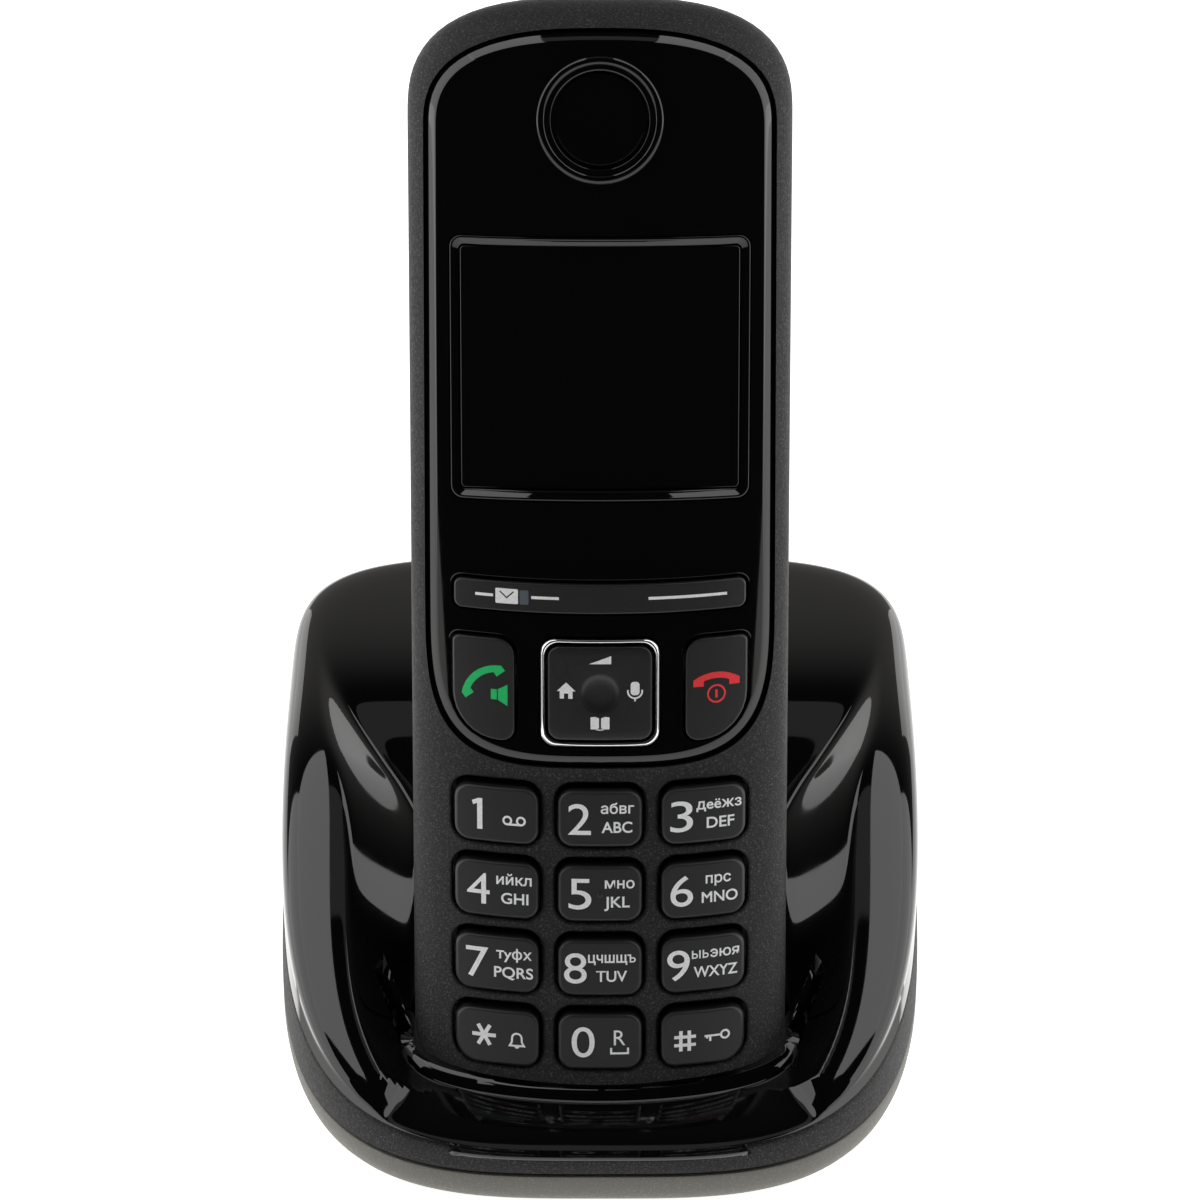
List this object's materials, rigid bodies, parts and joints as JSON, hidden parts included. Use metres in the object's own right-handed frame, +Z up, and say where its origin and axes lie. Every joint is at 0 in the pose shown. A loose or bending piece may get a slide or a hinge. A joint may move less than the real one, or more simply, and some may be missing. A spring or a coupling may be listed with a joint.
{
  "type": "cordless phone with base",
  "caption": "Cordless telephone handset with display and keypad, leaning back in the well of a low charging base; keys press, the handset lifts out.",
  "frame": {"origin": "on the surface that the base stands on, under the middle of the base's outline", "axes": "+X to the right as the user faces the keys, +Y towards the rear of the base, +Z up"},
  "size_m": [0.089, 0.107, 0.1441],
  "materials": {
    "matte_black": "fine grain, satin",
    "gloss_black": "polished, mirror like",
    "number_plastic": "smooth matt keys with printed white legends",
    "panel_key_plastic": "smooth satin keys with printed legends",
    "chrome": "bright plated trim",
    "display_glass": "clear over a dark display",
    "inner_plastic": "moulded",
    "inner_metal": "plain",
    "spring_metal": "plain",
    "contact_gold": "gold plated",
    "mat_rubber": "silicone",
    "circuit_green": "solder mask",
    "cell_foil": "printed foil",
    "foot_rubber": "matt",
    "steel": "zinc plated"
  },
  "bodies": {
    "base": {"base_bottom_shell": "matte_black", "base_ring": "matte_black", "base_top_cover": "gloss_black", "cradle_well": "gloss_black", "base_board": "circuit_green", "charge_contact_left": "contact_gold", "charge_contact_right": "contact_gold", "paging_switch": "inner_metal", "power_socket": "inner_plastic", "line_socket": "inner_plastic", "base_foot_1": "foot_rubber", "base_foot_2": "foot_rubber", "base_foot_3": "foot_rubber", "base_foot_4": "foot_rubber", "base_screw_1": "steel", "base_screw_2": "steel", "base_screw_3": "steel", "base_screw_4": "steel"},
    "handset": {"handset_front_frame": "matte_black", "handset_back_shell": "matte_black", "handset_gloss_panel": "gloss_black", "display_bezel": "gloss_black", "display_window": "display_glass", "lcd_module": "display_glass", "earpiece_disc": "gloss_black", "earpiece_speaker": "inner_metal", "nav_ring": "chrome", "keypad_mat": "mat_rubber", "main_board": "circuit_green", "ringer_speaker": "inner_metal", "microphone": "inner_metal", "battery_tray": "inner_plastic", "battery_cell_1": "cell_foil", "battery_cell_2": "cell_foil", "battery_contact_lower": "spring_metal", "battery_contact_upper": "spring_metal", "handset_contact_left": "contact_gold", "handset_contact_right": "contact_gold"},
    "battery_door": {"battery_door": "matte_black"},
    "paging_key": {"paging_key": "number_plastic"},
    "softkey_bar": {"softkey_bar": "panel_key_plastic"},
    "nav_pivot": {"nav_pivot": "inner_plastic"},
    "nav_key": {"nav_key": "panel_key_plastic"},
    "talk_key": {"talk_key": "panel_key_plastic"},
    "end_key": {"end_key": "panel_key_plastic"},
    "key_1": {"key_1": "number_plastic"},
    "key_2": {"key_2": "number_plastic"},
    "key_3": {"key_3": "number_plastic"},
    "key_4": {"key_4": "number_plastic"},
    "key_5": {"key_5": "number_plastic"},
    "key_6": {"key_6": "number_plastic"},
    "key_7": {"key_7": "number_plastic"},
    "key_8": {"key_8": "number_plastic"},
    "key_9": {"key_9": "number_plastic"},
    "key_star": {"key_star": "number_plastic"},
    "key_0": {"key_0": "number_plastic"},
    "key_hash": {"key_hash": "number_plastic"}
  },
  "joints": [
    {"name": "handset_lift", "type": "slide", "parent": "base", "child": "handset", "axis": [0, 0.342, 0.9397], "range_m": [0, 0.06]},
    {"name": "battery_door_slide", "type": "slide", "parent": "handset", "child": "battery_door", "axis": [0, 0.342, 0.9397], "range_m": [0, 0.0035]},
    {"name": "key_1_press", "type": "slide", "parent": "handset", "child": "key_1", "axis": [0, 0.9397, -0.342], "range_m": [0, 0.0006], "stiffness_N_per_m": 900},
    {"name": "key_2_press", "type": "slide", "parent": "handset", "child": "key_2", "axis": [0, 0.9397, -0.342], "range_m": [0, 0.0006], "stiffness_N_per_m": 900},
    {"name": "key_3_press", "type": "slide", "parent": "handset", "child": "key_3", "axis": [0, 0.9397, -0.342], "range_m": [0, 0.0006], "stiffness_N_per_m": 900},
    {"name": "key_4_press", "type": "slide", "parent": "handset", "child": "key_4", "axis": [0, 0.9397, -0.342], "range_m": [0, 0.0006], "stiffness_N_per_m": 900},
    {"name": "key_5_press", "type": "slide", "parent": "handset", "child": "key_5", "axis": [0, 0.9397, -0.342], "range_m": [0, 0.0006], "stiffness_N_per_m": 900},
    {"name": "key_6_press", "type": "slide", "parent": "handset", "child": "key_6", "axis": [0, 0.9397, -0.342], "range_m": [0, 0.0006], "stiffness_N_per_m": 900},
    {"name": "key_7_press", "type": "slide", "parent": "handset", "child": "key_7", "axis": [0, 0.9397, -0.342], "range_m": [0, 0.0006], "stiffness_N_per_m": 900},
    {"name": "key_8_press", "type": "slide", "parent": "handset", "child": "key_8", "axis": [0, 0.9397, -0.342], "range_m": [0, 0.0006], "stiffness_N_per_m": 900},
    {"name": "key_9_press", "type": "slide", "parent": "handset", "child": "key_9", "axis": [0, 0.9397, -0.342], "range_m": [0, 0.0006], "stiffness_N_per_m": 900},
    {"name": "key_star_press", "type": "slide", "parent": "handset", "child": "key_star", "axis": [0, 0.9397, -0.342], "range_m": [0, 0.0006], "stiffness_N_per_m": 900},
    {"name": "key_0_press", "type": "slide", "parent": "handset", "child": "key_0", "axis": [0, 0.9397, -0.342], "range_m": [0, 0.0006], "stiffness_N_per_m": 900},
    {"name": "key_hash_press", "type": "slide", "parent": "handset", "child": "key_hash", "axis": [0, 0.9397, -0.342], "range_m": [0, 0.0006], "stiffness_N_per_m": 900},
    {"name": "talk_key_press", "type": "slide", "parent": "handset", "child": "talk_key", "axis": [0, 0.9397, -0.342], "range_m": [0, 0.0006], "stiffness_N_per_m": 900},
    {"name": "end_key_press", "type": "slide", "parent": "handset", "child": "end_key", "axis": [0, 0.9397, -0.342], "range_m": [0, 0.0006], "stiffness_N_per_m": 900},
    {"name": "softkey_bar_rock", "type": "hinge", "parent": "handset", "child": "softkey_bar", "pos_m": [0, -0.01905, 0.07427], "axis": [0, 0.342, 0.9397], "range_deg": [-1.5, 1.5], "stiffness_Nm_per_rad": 1},
    {"name": "nav_key_pitch", "type": "hinge", "parent": "handset", "child": "nav_pivot", "pos_m": [0, -0.02327, 0.06266], "axis": [1, 0, 0], "range_deg": [-2, 2], "stiffness_Nm_per_rad": 0.6},
    {"name": "nav_key_roll", "type": "hinge", "parent": "nav_pivot", "child": "nav_key", "pos_m": [0, -0.02327, 0.06266], "axis": [0, 0.342, 0.9397], "range_deg": [-2, 2], "stiffness_Nm_per_rad": 0.6},
    {"name": "paging_key_press", "type": "slide", "parent": "base", "child": "paging_key", "axis": [0, 0.5145, -0.8575], "range_m": [0, 0.0008], "stiffness_N_per_m": 900}
  ]
}
